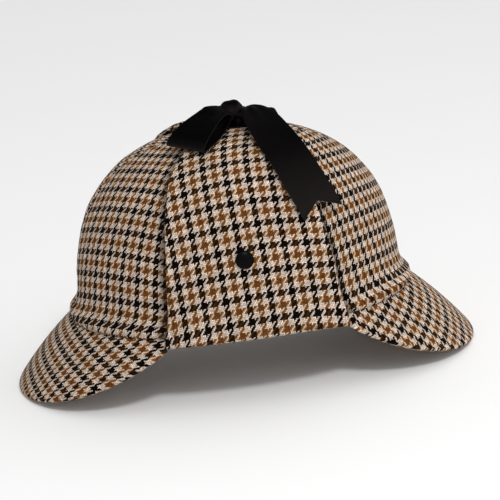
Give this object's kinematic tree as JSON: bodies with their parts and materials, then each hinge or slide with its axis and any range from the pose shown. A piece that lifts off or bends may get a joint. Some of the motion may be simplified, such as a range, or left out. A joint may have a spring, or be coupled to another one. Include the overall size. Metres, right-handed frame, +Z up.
{
  "type": "deerstalker hat",
  "caption": "Checked wool deerstalker hat with a peak at front and back and ear flaps turned up and tied over the crown by a black ribbon bow.",
  "frame": {"origin": "on the floor, under the middle of the hat's outline seen from above", "axes": "+Z up; -Y towards the front peak, +Y towards the rear peak; +X towards the wearer's left"},
  "size_m": [0.1686, 0.2928, 0.1675],
  "materials": {
    "check_cloth": "gun-club houndstooth wool tweed in cream, rust brown and black",
    "ribbon": "black ribbed grosgrain with a soft sheen",
    "stud": "black enamel, semi-gloss"
  },
  "bodies": {
    "root": {"crown_front_left": "check_cloth", "crown_side_left": "check_cloth", "crown_back_left": "check_cloth", "crown_back_right": "check_cloth", "crown_side_right": "check_cloth", "crown_front_right": "check_cloth", "front_peak": "check_cloth", "rear_peak": "check_cloth", "ear_flap_left": "check_cloth", "ear_flap_right": "check_cloth", "ribbon_tie_left": "ribbon", "ribbon_tie_right": "ribbon", "bow_knot": "ribbon", "bow_loop_left": "ribbon", "bow_loop_right": "ribbon", "bow_tail_left": "ribbon", "bow_tail_right": "ribbon", "flap_stud": "stud"}
  },
  "joints": []
}
